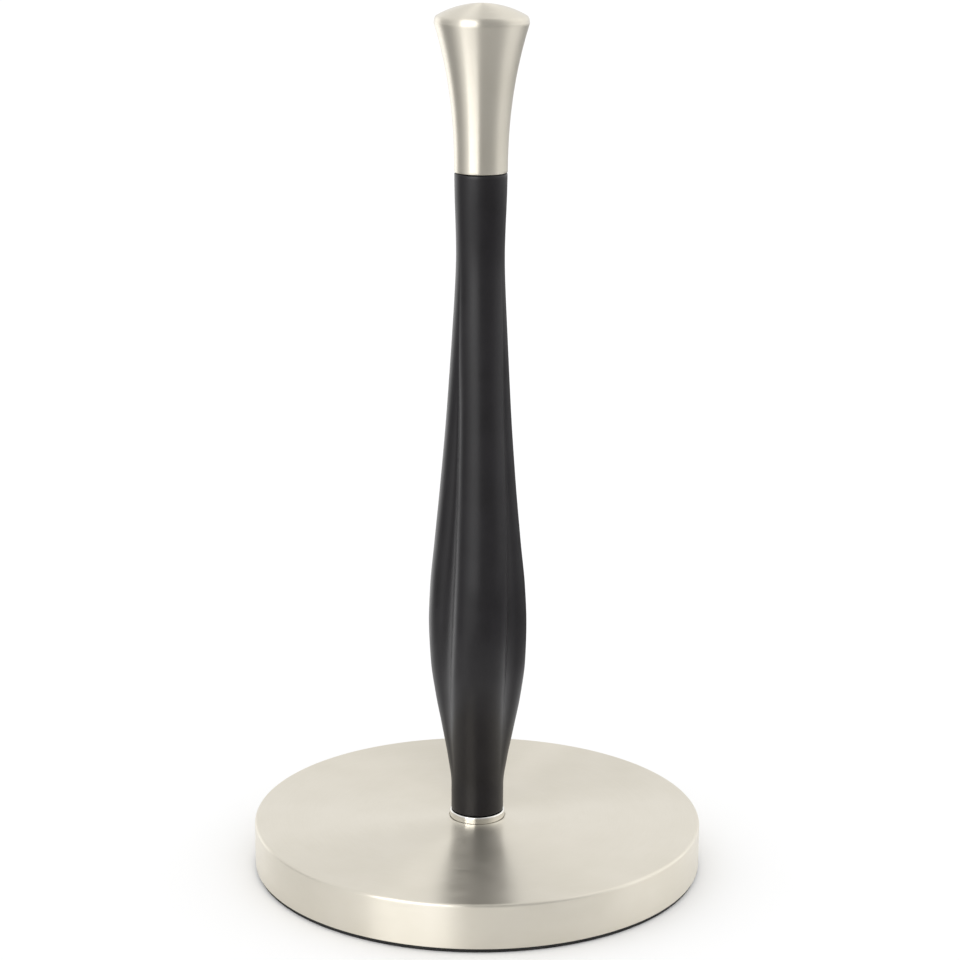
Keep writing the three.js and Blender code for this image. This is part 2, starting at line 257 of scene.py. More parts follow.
def base_shell():
    """Drawn cap with a broad rounded edge, and a shallow seat for the collar round the rod's hole."""
    radius, bottom, top = extent("base_shell")
    inner = radius - SHELL_WALL
    under = top - SHELL_WALL
    seat = top - SEAT_DEPTH
    hem = 0.3 * MM
    seat_edge = 0.15 * MM
    hole_edge = 0.1 * MM
    return turned("base_shell", softened([
        (inner, bottom, hem),
        (radius, bottom, hem),
        (radius, top, SHELL_EDGE),
        (SEAT_RADIUS, top, seat_edge),
        (SEAT_RADIUS, seat, 0),
        (SHELL_HOLE, seat, hole_edge),
        (SHELL_HOLE, under, hole_edge),
        (inner, under, SHELL_EDGE - SHELL_WALL),
    ], steps=10), FINE)


def ballast_disc():
    """Cast disc with a well for the rod's nut in its underside, and pilot holes for the cover's screws."""
    radius, bottom, top = extent("ballast_disc")
    cast_edge = 1.2 * MM
    well_radius = 9.5 * MM
    well_top = bottom + 2.2 * MM
    well_edge = 0.4 * MM
    bore_upper_edge = 0.3 * MM
    bore_lower_edge = 0.2 * MM
    body = turned("ballast_disc", softened([
        (well_radius, bottom, well_edge),
        (radius, bottom, cast_edge),
        (radius, top, cast_edge),
        (BORE, top, bore_upper_edge),
        (BORE, well_top, bore_lower_edge),
        (well_radius, well_top, well_edge),
    ]), MEDIUM)
    spare = 0.3 * MM
    pilot_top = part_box("cover_screw_1")[1].z + spare
    sides = 32
    pilots = [cylinder(SCREW_HOLE, bottom - PAST, pilot_top, sides, centre) for centre in at_screws()]
    return combine(body, pilots, "DIFFERENCE")


def bottom_cover():
    """Moulded cover: a plate with a groove for the foot, a skirt, a lip round the hole, and bosses."""
    radius, bottom, boss_top = extent("bottom_cover")
    plate_top = bottom + 2.4 * MM
    play = 0.3 * MM
    groove_top = extent("foot_ring")[2] + play
    groove_outer = FOOT_RIB + play
    groove_inner = FOOT_INNER - play
    skirt_inner = radius - 2 * MM
    skirt_top = plate_top + 3.7 * MM
    access = 12 * MM
    lip = 13.5 * MM
    lip_top = skirt_top - 1 * MM
    edge = 0.25 * MM
    body = turned("bottom_cover", softened([
        (access, bottom, edge),
        (groove_inner, bottom, edge),
        (groove_inner, groove_top, 0),
        (groove_outer, groove_top, 0),
        (groove_outer, bottom, edge),
        (radius, bottom, edge),
        (radius, skirt_top, edge),
        (skirt_inner, skirt_top, edge),
        (skirt_inner, plate_top, edge),
        (lip, plate_top, edge),
        (lip, lip_top, edge),
        (access, lip_top, edge),
    ], steps=3), MEDIUM)
    boss = 5.5 * MM
    well = 3.8 * MM
    well_depth = 2.5 * MM
    well_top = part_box("cover_screw_1")[0].z + well_depth
    sides = 40
    hole = [
        (0, bottom - PAST),
        (well, bottom - PAST),
        (well, well_top),
        (SCREW_HOLE, well_top),
        (SCREW_HOLE, boss_top + PAST),
        (0, boss_top + PAST),
    ]
    bosses = [cylinder(boss, plate_top - PAST, boss_top, sides, centre) for centre in at_screws()]
    holes = [turned("hole", hole, sides, centre) for centre in at_screws()]
    combine(body, bosses, "UNION")
    return combine(body, holes, "DIFFERENCE")


def foot_ring():
    """Rubber ring with three shallow grip grooves in its underside and a rib pressed into the cover."""
    radius, bottom, top = extent("foot_ring")
    shoulder_radius = extent("bottom_cover")[0]
    lip_top = bottom + 1.4 * MM
    shoulder_top = bottom + 2.6 * MM
    groove_width = 0.8 * MM
    groove_top = bottom + 0.5 * MM
    edge = 0.12 * MM
    tread_edge = 0.4 * MM
    corners = [(FOOT_INNER, bottom, tread_edge)]
    for share in (0.25, 0.5, 0.75):
        middle = FOOT_INNER + (radius - FOOT_INNER) * share
        near = middle - groove_width / 2
        far = middle + groove_width / 2
        corners += [(near, bottom, edge), (near, groove_top, edge)]
        corners += [(far, groove_top, edge), (far, bottom, edge)]
    corners += [
        (radius, bottom, tread_edge),
        (radius, lip_top, edge),
        (shoulder_radius, lip_top, 0),
        (shoulder_radius, shoulder_top, edge),
        (FOOT_RIB, shoulder_top, 0),
        (FOOT_RIB, top, edge),
        (FOOT_INNER, top, edge),
    ]
    return turned("foot_ring", softened(corners, steps=4), FINE)


def recess_arm(bottom, turn):
    """Cutter for one arm of a cross recess, which narrows upwards."""
    length = 3.6 * MM
    width = 0.8 * MM
    height = 2.6 * MM
    narrowing = 0.45
    bm = bmesh.new()
    bmesh.ops.create_cube(bm, size=1)
    for vert in bm.verts:
        inward = narrowing if vert.co.z > 0 else 1
        vert.co = Vector((vert.co.x * length * inward, vert.co.y * width, vert.co.z * height))
    bmesh.ops.rotate(bm, verts=bm.verts, matrix=Matrix.Rotation(turn, 3, "Z"))
    bmesh.ops.translate(bm, verts=bm.verts, vec=(0, 0, bottom))
    return make_object("arm", bm)


def cover_screw(node):
    """Self-tapping screw, head down, with a domed head, a cross recess and a thread."""
    low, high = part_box(node)
    middle = (low + high) / 2
    head = (high.x - low.x) / 2
    head_edge = 1.1 * MM
    head_top = low.z + 2.2 * MM
    edge_steps = 7
    shank = 1.7 * MM
    neck = shank * 1.1
    point = 0.6 * shank
    pitch = 1.1 * MM
    depth = 0.35 * MM
    thread_bottom = head_top + 0.1 * MM
    thread_top = high.z - 1.4 * MM
    point_bottom = high.z - 0.6 * MM
    sides = 40
    rings = [[(0, 0, low.z)]]
    for i in range(edge_steps + 1):
        angle = math.pi / 2 * i / edge_steps
        radius = head - head_edge * (1 - math.sin(angle))
        rings.append(circle(radius, low.z + head_edge * (1 - math.cos(angle)), sides))
    rings += [circle(head, head_top, sides), circle(neck, head_top, sides)]
    rings += threaded_rings(shank, depth, thread_bottom, thread_top, pitch, sides)
    rings += [circle(point, point_bottom, sides), [(0, 0, high.z)]]
    body = skin(node, rings)
    combine(body, [recess_arm(low.z, turn) for turn in (0, math.pi / 2)], "DIFFERENCE")
    body.data.transform(Matrix.Translation((middle.x, middle.y, 0)))
    return body


# ---------------------------------------------------------------- rod and its fasteners


def rod():
    """Tie rod with a rolled thread at each end, for the nuts."""
    radius, bottom, top = extent("rod")
    lower_thread_top = extent("base_hub")[2]
    upper_thread_bottom = extent("spring_cup")[1]
    pitch = 1.25 * MM
    depth = 0.6 * MM
    sides = 48
    chamfer = 0.8 * MM
    rings = [[(0, 0, bottom)], circle(radius - chamfer, bottom, sides)]
    rings += threaded_rings(radius, depth, bottom + chamfer, lower_thread_top, pitch, sides)
    rings += threaded_rings(radius, depth, upper_thread_bottom, top - chamfer, pitch, sides)
    rings += [circle(radius - chamfer, top, sides), [(0, 0, top)]]
    return skin("rod", rings)


def hex_nut(node):
    """Hexagon nut whose corners are turned off at 30 degrees on both faces."""
    corner, bottom, top = extent(node)
    flat = corner * math.cos(math.pi / 6)
    drop = (corner - flat) * math.tan(math.pi / 6)
    sides = SMALL
    chamfer_steps = 6
    lead = 0.4 * MM
    angles = [TAU * i / sides for i in range(sides)]

    def ring(reach, height):
        points = []
        for angle in angles:
            from_flat = angle % (TAU / 6) - TAU / 12
            points.append(polar(min(reach, flat / math.cos(from_flat)), angle, height))
        return points

    shares = [k / chamfer_steps for k in range(chamfer_steps + 1)]
    lower = [ring(flat + (corner - flat) * share, bottom + drop * share) for share in shares]
    upper = [ring(flat + (corner - flat) * share, top - drop * share) for share in reversed(shares)]
    bore = [(BORE + lead, top), (BORE, top - lead), (BORE, bottom + lead), (BORE + lead, bottom)]
    return skin(node, lower + upper + [circle(r, z, sides) for r, z in bore], loop=True)


def lock_washer():
    """Spring washer: one turn of square wire whose cut ends stand a little apart in height."""
    radius, bottom, top = extent("rod_lock_washer")
    wire = 1.6 * MM
    rise = (top - bottom) - wire
    split = math.radians(16)
    edge = 0.15 * MM
    steps = 96
    rings = []
    for i in range(steps + 1):
        share = i / steps
        angle = split / 2 + (TAU - split) * share
        height = bottom + rise * share
        section = plain_section(BORE, radius, height, height + wire, edge, steps=2)
        rings.append([polar(r, angle, z) for r, z in section])
    return skin("rod_lock_washer", rings, cap=True)


def washer(node):
    radius, bottom, top = extent(node)
    edge = 0.2 * MM
    return turned(node, plain_section(BORE, radius, bottom, top, edge), SMALL)


# ---------------------------------------------------------------- foot of the post


def base_hub():
    """Turned seat: a flange on the base, and a boss that carries the brake disc."""
    radius, bottom, top = extent("base_hub")
    boss = 7.4 * MM
    flange_top = bottom + 2.2 * MM
    edge = 0.3 * MM
    root = 0.2 * MM
    return turned("base_hub", softened([
        (BORE, bottom, edge),
        (radius, bottom, edge),
        (radius, flange_top, edge),
        (boss, flange_top, root),
        (boss, top, edge),
        (BORE, top, edge),
    ], steps=4), SMALL)


def collar():
    """Polished ring: a straight band between two rounded edges, the upper one wider."""
    radius, bottom, top = extent("collar")
    inner = 9.5 * MM
    inner_lower_edge = 0.15 * MM
    inner_upper_edge = 0.2 * MM
    lower_edge = 0.3 * MM
    upper_edge = 0.6 * MM
    return turned("collar", softened([
        (inner, bottom, inner_lower_edge),
        (radius, bottom, lower_edge),
        (radius, top, upper_edge),
        (inner, top, inner_upper_edge),
    ], steps=8), MEDIUM)


def brake_disc():
    """Friction washer with three wear grooves on its upper face."""
    radius, bottom, top = extent("brake_disc")
    groove_depth = 0.35 * MM
    groove_bottom = top - groove_depth
    half_width = 0.12 * MM
    edge = 0.1 * MM
    corners = [(BORE, bottom, edge), (radius, bottom, edge), (radius, top, edge)]
    for middle in (6.9 * MM, 6.0 * MM, 5.1 * MM):
        far = middle + half_width
        near = middle - half_width
        corners += [(far, top, 0), (far, groove_bottom, 0), (near, groove_bottom, 0), (near, top, 0)]
    corners.append((BORE, top, edge))
    return turned("brake_disc", softened(corners, steps=2), SMALL)


def bush(node, spigot_up):
    """Flanged bush with a lead-in chamfer at the end of its spigot."""
    radius, bottom, top = extent(node)
    length = top - bottom
    spigot = 6.4 * MM
    flange = 1.6 * MM
    lead = 0.5 * MM
    edge = 0.2 * MM
    root = 0.1 * MM
    corners = [
        (BORE, 0, edge),
        (radius, 0, edge),
        (radius, flange, edge),
        (spigot, flange, root),
        (spigot, length - lead, 0),
        (spigot - lead, length, 0),
        (BORE, length, edge),
    ]
    placed = [(r, bottom + h if spigot_up else top - h, fillet) for r, h, fillet in corners]
    return turned(node, softened(placed, steps=3), SMALL)


def core_tube():
    radius, bottom, top = extent("core_tube")
    bore = 6.7 * MM
    edge = 0.2 * MM
    return turned("core_tube", plain_section(bore, radius, bottom, top, edge), SMALL)


# ---------------------------------------------------------------- grip

LOBES = 3
LOBE_DIRECTION = math.radians(270)  # one lobe is on the camera's side
GRIP_BORE = 8.3 * MM
# Each station gives the height, the distance of the lobes' centres from the axis, the lobes' radius and the
# valleys' radius in millimetres, and how far the lobes are turned on from their direction in degrees.
OFFSET, LOBE, VALLEY, TURN = 1, 2, 3, 4
GRIP_STATIONS = [
    (23.1, 0, 10.72, 12, -3),
    (34, 0, 10.75, 12, -3),
    (45, 1.7, 10.75, 12, -3),
    (58, 4.6, 10.8, 12.5, -3),
    (72, 7.7, 10.9, 13, -1.5),
    (86, 9.6, 11.1, 13, 0.5),
    (103, 10.35, 11.05, 12, 3),
    (117, 9.95, 10.82, 10.5, 4.5),
    (137, 8.25, 10.4, 8, 7),
    (163, 6.4, 9.6, 4.5, 8),
    (196, 4.3, 8.9, 2.5, 7),
    (222, 2.2, 9.15, 2, 5),
    (247, 0.6, 9.25, 2, 4),
    (262, 0, 9.72, 2, 4),
    (286.9, 0, 10.4, 2, 4),
]


def station_value(column, height):
    """Smooth value between stations, without overshoot: a cubic with harmonic mean slopes at them."""
    stations = GRIP_STATIONS

    def rise(i):
        return (stations[i + 1][column] - stations[i][column]) / (stations[i + 1][0] - stations[i][0])

    def slope(i):
        if i in (0, len(stations) - 1):
            return 0
        product = rise(i - 1) * rise(i)
        return 2 * product / (rise(i - 1) + rise(i)) if product > 0 else 0

    i = max(k for k in range(len(stations) - 1) if k == 0 or stations[k][0] <= height)
    span = stations[i + 1][0] - stations[i][0]
    t = min(1, max(0, (height - stations[i][0]) / span))
    return (
        stations[i][column] * (1 + 2 * t) * (1 - t) ** 2
        + stations[i + 1][column] * (3 - 2 * t) * t**2
        + slope(i) * span * t * (1 - t) ** 2
        - slope(i + 1) * span * t**2 * (1 - t)
    )


def grip_radius(angle, offset, lobe, valley):
    """Radius of the section: equal circles set round the axis, each valley between two filled by an arc."""
    half = TAU / LOBES / 2
    from_lobe = abs(angle - 2 * half * round(angle / (2 * half)))
    to_valley = half - from_lobe
    reach = math.sqrt((lobe + valley) ** 2 - (offset * math.sin(half)) ** 2)
    valley_centre = offset * math.cos(half) + reach
    share = lobe / (lobe + valley)
    tangent_x = offset + share * (valley_centre * math.cos(half) - offset)
    tangent_y = share * valley_centre * math.sin(half)
    if from_lobe < math.atan2(tangent_y, tangent_x):
        return offset * math.cos(from_lobe) + math.sqrt(lobe**2 - (offset * math.sin(from_lobe)) ** 2)
    chord = math.sqrt(max(0, valley**2 - (valley_centre * math.sin(to_valley)) ** 2))
    return valley_centre * math.cos(to_valley) - chord


def grip_sleeve():
    """Soft sleeve with rounded ends, from rings of the lobed section, and a bore for the core tube."""
    low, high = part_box("grip_sleeve")
    sides = 216
    rows = 260
    edge = 0.5 * MM
    edge_steps = 4
    heights = [low.z + edge + (high.z - low.z - 2 * edge) * i / rows for i in range(rows + 1)]
    angles = [TAU * i / sides for i in range(sides)]

    def placed(height, radii):
        start = LOBE_DIRECTION + math.radians(station_value(TURN, height / MM))
        return [polar(radius, start + angle, height) for radius, angle in zip(radii, angles)]

    def ring(height, inset):
        section = [station_value(column, height / MM) for column in (OFFSET, LOBE, VALLEY)]
        return placed(height, [grip_radius(angle, *section) * MM - inset for angle in angles])

    def rounded_end(end, towards):
        """Rings round a quarter arc from the end face out to the side."""
        rings = []
        for i in range(edge_steps):
            angle = math.pi / 2 * i / edge_steps
            inset = edge * (1 - math.sin(angle))
            rings.append(ring(end + towards * edge * (1 - math.cos(angle)), inset))
        return rings

    outer = rounded_end(low.z, 1) + [ring(height, 0) for height in heights]
    outer += rounded_end(high.z, -1)[::-1]
    bore = [placed(height, [GRIP_BORE] * sides) for height in (high.z, low.z)]
    return skin("grip_sleeve", outer + bore, loop=True)


# ---------------------------------------------------------------- top of the post

FINIAL_WALL = 1.0 * MM
FINIAL_FOOT = 10.5 * MM
FLARE_HEIGHT = 57.3 * MM
FLARE_POWER = 2.2
DOME_RADIUS = 35 * MM
DOME_EDGE = 17.3 * MM


def flare(low, high, inset, steps):
    """Profile points of the finial's flare between two heights, moved inwards by inset."""
    rim, bottom, _ = extent("finial_shell")
    points = []
    for i in range(steps + 1):
        height = low + (high - low) * i / steps
        share = (height - bottom) / FLARE_HEIGHT
        points.append((FINIAL_FOOT + (rim - FINIAL_FOOT) * share**FLARE_POWER - inset, height))
    return points


def dome(radius, edge, steps):
    """Profile points of the finial's dome, from its edge to the axis."""
    centre = extent("finial_shell")[2] - DOME_RADIUS
    inwards = [edge * (1 - i / steps) for i in range(steps)]
    return [(r, centre + math.sqrt(radius**2 - r**2)) for r in inwards] + [(0, centre + radius)]


def curve_point(start, control, end, t):
    """Point at t on the quadratic curve from start to end that control draws aside."""
    return tuple((1 - t) ** 2 * a + 2 * t * (1 - t) * b + t**2 * c for a, b, c in zip(start, control, end))


def finial_shell():
    """Hollow finial: a foot with a softened edge, the flare, a short band, a rounded rim and the dome."""
    rim, bottom, _ = extent("finial_shell")
    rim_bottom = bottom + FLARE_HEIGHT
    outer_edge = 0.3 * MM
    edge_middle_in = 0.08 * MM
    edge_middle_up = 0.09 * MM
    inner_edge = 0.2 * MM
    foot = [
        (FINIAL_FOOT - FINIAL_WALL + inner_edge, bottom),
        (FINIAL_FOOT - outer_edge, bottom),
        (FINIAL_FOOT - edge_middle_in, bottom + edge_middle_up),
    ]
    outer_dome = dome(DOME_RADIUS, DOME_EDGE, steps=24)
    dome_start = outer_dome[0]
    band_taper = 0.1 * MM
    band_height = 0.4 * MM
    band_top = (rim - band_taper, rim_bottom + band_height)
    rim_corner = (band_top[0] - band_taper, dome_start[1] - band_height)
    rim_steps = 10
    rim_edge = [curve_point(band_top, rim_corner, dome_start, i / rim_steps) for i in range(rim_steps + 1)]
    outer_flare = flare(bottom + outer_edge, rim_bottom, inset=0, steps=72)
    outer = foot + outer_flare + rim_edge + outer_dome[1:]
    inner_dome = dome(DOME_RADIUS - FINIAL_WALL, DOME_EDGE - FINIAL_WALL, steps=12)
    inner_flare = flare(rim_bottom - FINIAL_WALL, bottom + inner_edge, FINIAL_WALL, steps=36)
    inner = inner_dome[::-1] + inner_flare
    return skin("finial_shell", [circle(r, z, MEDIUM) for r, z in outer + inner], loop=True)


def finial_insert():
    """Plug pressed into the finial, with a straight knurl round it."""
    _, bottom, top = extent("finial_insert")
    sides = MEDIUM
    clearance = 0.3 * MM
    knurl_depth = 0.25 * MM
    knurl_fade = 1 * MM
    knurl_sides = 4
    rings = []
    for radius, height in flare(bottom, top, FINIAL_WALL + clearance, steps=12):
        depth = knurl_depth * min(1, (height - bottom) / knurl_fade, (top - height) / knurl_fade)
        ring = []
        for i in range(sides):
            sunken = i % knurl_sides < knurl_sides / 2
            ring.append(polar(radius - depth if sunken else radius, TAU * i / sides, height))
        rings.append(ring)
    rings += [circle(BORE, top, sides), circle(BORE, bottom, sides)]
    return skin("finial_insert", rings, loop=True)


def tension_spring():
    """Round-wire compression spring whose ends lie flat."""
    low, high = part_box("tension_spring")
    wire = 0.7 * MM
    coil = 6.2 * MM
    turns = 3
    steps_per_turn = 64
    steps = turns * steps_per_turn
    sides = 16
    rings = []
    for i in range(steps + 1):
        share = i / steps
        eased = share * share * (3 - 2 * share)
        angle = TAU * turns * share
        height = low.z + wire + (high.z - low.z - 2 * wire) * eased
        ring = []
        for k in range(sides):
            around = TAU * k / sides
            ring.append(polar(coil + wire * math.cos(around), angle, height + wire * math.sin(around)))
        rings.append(ring)
    return skin("tension_spring", rings, cap=True)


# ---------------------------------------------------------------- materials

# A Mix node has sockets of the same name for numbers, vectors and colours. These are the ones for colours.
MIX_FIRST, MIX_SECOND, MIX_COLOUR = 6, 7, 2


class Nodes:
    """Short calls that add nodes to a tree."""

    def __init__(self, tree):
        self.tree = tree

    def node(self, kind, inputs=(), **settings):
        """A new node. Its inputs are values, or sockets that feed them. Settings are its properties."""
        made = self.tree.nodes.new(kind)
        for key, value in settings.items():
            setattr(made, key, value)
        for key, value in dict(inputs).items():
            if isinstance(value, bpy.types.NodeSocket):
                self.tree.links.new(value, made.inputs[key])
            else:
                made.inputs[key].default_value = value
        return made

    def calc(self, operation, a, b):
        return self.node("ShaderNodeMath", {0: a, 1: b}, operation=operation).outputs[0]

    def spread(self, value, low, high, start=0.3, end=0.7):
        """Maps a value from start..end to low..high."""
        inputs = {"Value": value, "From Min": start, "From Max": end, "To Min": low, "To Max": high}
        return self.node("ShaderNodeMapRange", inputs).outputs["Result"]

    def mix(self, factor, first, second):
        """Colour that goes from first to second as the factor goes from 0 to 1."""
        inputs = {"Factor": factor, MIX_FIRST: first, MIX_SECOND: second}
        return self.node("ShaderNodeMix", inputs, data_type="RGBA").outputs[MIX_COLOUR]


class Shader(Nodes):
    """A Principled material, with short calls for the nodes that feed it."""

    def __init__(self, name, **sockets):
        self.material = bpy.data.materials.new(name)
        self.material.use_nodes = True
        super().__init__(self.material.node_tree)
        self.surface = self.tree.nodes["Principled BSDF"]
        for socket, value in sockets.items():
            self.surface.inputs[socket.replace("_", " ")].default_value = value
        self.position = self.node("ShaderNodeTexCoord").outputs["Object"]

    def feed(self, socket, value):
        self.tree.links.new(value, self.surface.inputs[socket])

    def vector(self, operation, a, b=(0, 0, 0)):
        return self.node("ShaderNodeVectorMath", {0: a, 1: b}, operation=operation).outputs[0]

    def scaled(self, vector, factor):
        return self.node("ShaderNodeVectorMath", {0: vector, "Scale": factor}, operation="SCALE").outputs[0]

    def noise(self, vector, scale, detail, roughness=0.5):
        inputs = {"Vector": vector, "Scale": scale, "Detail": detail, "Roughness": roughness}
        return self.node("ShaderNodeTexNoise", inputs).outputs["Fac"]

    def colour(self, pattern, first, second, start=0.3, end=0.7):
        """Base colour that goes from first to second as the pattern goes from start to end."""
        share = self.spread(pattern, 0, 1, start, end)
        self.feed("Base Color", self.mix(share, (*first, 1), (*second, 1)))

    def bump(self, height, depth, strength):
        inputs = {"Height": height, "Distance": depth, "Strength": strength}
        self.feed("Normal", self.node("ShaderNodeBump", inputs).outputs["Normal"])

    def around(self, along, across):
        """Coordinates for marks round the Z axis: slow along them, and fast across, by radius and height."""
        flat = self.vector("MULTIPLY", self.position, (1, 1, 0))
        radius = self.node("ShaderNodeVectorMath", {0: flat}, operation="LENGTH").outputs["Value"]
        height = self.node("ShaderNodeSeparateXYZ", {0: self.position}).outputs["Z"]
        level = self.calc("MULTIPLY", self.calc("ADD", radius, height), across)
        lift = self.node("ShaderNodeCombineXYZ", {"Z": level}).outputs[0]
        return self.vector("ADD", self.scaled(self.vector("NORMALIZE", flat), along), lift)

    def brushed_round(self):
        """The direction of marks that run round the Z axis, for the anisotropy to turn from."""
        tangent = self.node("ShaderNodeTangent", direction_type="RADIAL", axis="Z")
        self.feed("Tangent", tangent.outputs["Tangent"])


def satin_steel(name, roughness, anisotropy):
    """Warm satin nickel tone with fine brush lines that run round the piece."""
    quarter_turn = 0.25  # of a full turn: the highlights stretch across the lines, not along them
    shader = Shader(name, Metallic=1.0, Anisotropic=anisotropy, Anisotropic_Rotation=quarter_turn)
    lines = shader.noise(shader.around(along=5, across=1600), scale=1, detail=6, roughness=0.65)
    clouds = shader.noise(shader.position, scale=45, detail=3, roughness=0.55)
    shader.colour(clouds, (0.714, 0.673, 0.58), (0.749, 0.708, 0.62))
    grain = shader.calc("ADD", shader.spread(lines, -0.04, 0.05), shader.spread(clouds, -0.015, 0.015))
    shader.feed("Roughness", shader.calc("ADD", grain, roughness))
    shader.bump(lines, depth=0.012 * MM, strength=0.5)
    shader.brushed_round()
    return shader.material


def polished_steel():
    shader = Shader("polished_steel", Metallic=1.0)
    scuffs = shader.noise(shader.around(along=3, across=4000), scale=1, detail=4, roughness=0.6)
    clouds = shader.noise(shader.position, scale=250, detail=2)
    shader.colour(clouds, (0.80, 0.785, 0.74), (0.84, 0.825, 0.79))
    shader.feed("Roughness", shader.spread(scuffs, 0.07, 0.16))
    shader.bump(scuffs, depth=0.004 * MM, strength=0.4)
    return shader.material


def grip_rubber():
    """Soft-touch black rubber: a fine matt skin with faint cloudy rubbing marks."""
    shader = Shader("grip_rubber", Specular_IOR_Level=0.42)
    skin_grain = shader.noise(shader.position, scale=5200, detail=2, roughness=0.6)
    clouds = shader.noise(shader.position, scale=70, detail=4, roughness=0.6)
    upright = shader.vector("MULTIPLY", shader.position, (1, 1, 0.18))
    rubbed = shader.noise(upright, scale=190, detail=3, roughness=0.55)
    shader.colour(clouds, (0.0058, 0.0046, 0.0062), (0.0096, 0.008, 0.0104))
    sheen = shader.calc("ADD", shader.spread(rubbed, -0.03, 0.04), shader.spread(clouds, -0.02, 0.02))
    shader.feed("Roughness", shader.calc("ADD", sheen, 0.36))
    shader.bump(skin_grain, depth=0.02 * MM, strength=0.35)
    return shader.material


def foot_rubber():
    shader = Shader("foot_rubber", Specular_IOR_Level=0.35)
    grain = shader.noise(shader.position, scale=2600, detail=3, roughness=0.6)
    dust = shader.noise(shader.position, scale=120, detail=4, roughness=0.6)
    shader.colour(dust, (0.012, 0.012, 0.012), (0.03, 0.029, 0.027), start=0.45, end=0.8)
    shader.feed("Roughness", shader.spread(grain, 0.62, 0.82))
    shader.bump(grain, depth=0.04 * MM, strength=0.5)
    return shader.material


def cover_plastic():
    """Black moulded plastic with a spark-eroded texture."""
    shader = Shader("cover_plastic", Specular_IOR_Level=0.45)
    grain = shader.noise(shader.position, scale=1900, detail=4, roughness=0.7)
    clouds = shader.noise(shader.position, scale=60, detail=3)
    shader.colour(clouds, (0.014, 0.014, 0.015), (0.022, 0.022, 0.023))
    shader.feed("Roughness", shader.spread(grain, 0.42, 0.6))
    shader.bump(grain, depth=0.05 * MM, strength=0.6)
    return shader.material


def screw_steel():
    """Black oxide, worn a little brighter in patches."""
    shader = Shader("screw_steel", Metallic=0.85)
    wear = shader.noise(shader.position, scale=900, detail=4, roughness=0.65)
    shader.colour(wear, (0.035, 0.036, 0.04), (0.11, 0.105, 0.1), start=0.5, end=0.75)
    shader.feed("Roughness", shader.spread(wear, 0.5, 0.36))
    shader.bump(wear, depth=0.01 * MM, strength=0.5)
    return shader.material


def zinc_steel():
    """Bright zinc plate with soft patches of blue and straw tint."""
    shader = Shader("zinc_steel", Metallic=1.0)
    patches = shader.noise(shader.position, scale=260, detail=3, roughness=0.55)
    marks = shader.noise(shader.around(along=4, across=2600), scale=1, detail=4, roughness=0.6)
    shader.colour(patches, (0.55, 0.585, 0.62), (0.66, 0.645, 0.58))
    shader.feed("Roughness", shader.spread(marks, 0.26, 0.42))
    shader.bump(marks, depth=0.01 * MM, strength=0.5)
    return shader.material


def spring_steel():
    shader = Shader("spring_steel", Metallic=1.0)
    patches = shader.noise(shader.position, scale=600, detail=3, roughness=0.6)
    shader.colour(patches, (0.40, 0.405, 0.42), (0.50, 0.50, 0.50))
    shader.feed("Roughness", shader.spread(patches, 0.24, 0.38))
    shader.bump(patches, depth=0.006 * MM, strength=0.5)
    return shader.material


def ballast_iron():
    """Sand-cast iron: pitted skin with a thin film of oil and traces of rust."""
    shader = Shader("ballast_iron", Metallic=0.75)
    sand = shader.noise(shader.position, scale=900, detail=5, roughness=0.7)
    stains = shader.noise(shader.position, scale=55, detail=5, roughness=0.65)
    shader.colour(stains, (0.13, 0.13, 0.135), (0.22, 0.13, 0.08), start=0.5, end=0.8)
    shader.feed("Roughness", shader.spread(sand, 0.5, 0.8))
    shader.bump(sand, depth=0.25 * MM, strength=0.8)
    return shader.material


def brake_pad():
    """Pressed friction material, flecked with fibres."""
    shader = Shader("brake_pad", Specular_IOR_Level=0.2)
    strands = shader.vector("MULTIPLY", shader.position, (1, 0.35, 1))
    fibres = shader.noise(strands, scale=2400, detail=4, roughness=0.7)
    shader.colour(fibres, (0.16, 0.11, 0.07), (0.38, 0.29, 0.2))
    shader.feed("Roughness", shader.spread(fibres, 0.75, 0.95))
    shader.bump(fibres, depth=0.05 * MM, strength=0.6)
    return shader.material


def bush_plastic():
    """Natural acetal with faint turning marks."""
    shader = Shader("bush_plastic", Specular_IOR_Level=0.5)
    marks = shader.noise(shader.around(along=2, across=5000), scale=1, detail=3, roughness=0.5)
    clouds = shader.noise(shader.position, scale=200, detail=3)
    shader.colour(clouds, (0.76, 0.75, 0.70), (0.83, 0.82, 0.78))
    shader.feed("Roughness", shader.spread(marks, 0.3, 0.42))
    shader.bump(marks, depth=0.01 * MM, strength=0.4)
    return shader.material


def tube_alloy():
    """Drawn tube: fine die lines along its length."""
    shader = Shader("tube_alloy", Metallic=1.0)
    drawn = shader.vector("MULTIPLY", shader.position, (1, 1, 0.01))
    lines = shader.noise(drawn, scale=2600, detail=4, roughness=0.6)
    clouds = shader.noise(shader.position, scale=110, detail=3)
    shader.colour(clouds, (0.62, 0.63, 0.645), (0.70, 0.70, 0.705))
    shader.feed("Roughness", shader.spread(lines, 0.28, 0.42))
    shader.bump(lines, depth=0.01 * MM, strength=0.5)
    return shader.material


# ---------------------------------------------------------------- assembly

BODIES = frame["record"]["behaviour"]["bodies"]


def add(node, piece, material):
    """Stands the piece for a CAD node, with that node's body and the given material."""
    piece.name = "fine_" + node
    piece.data.materials.clear()
    piece.data.materials.append(material)
    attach(piece, next(body for body, nodes in BODIES.items() if node in nodes))
    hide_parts(node)


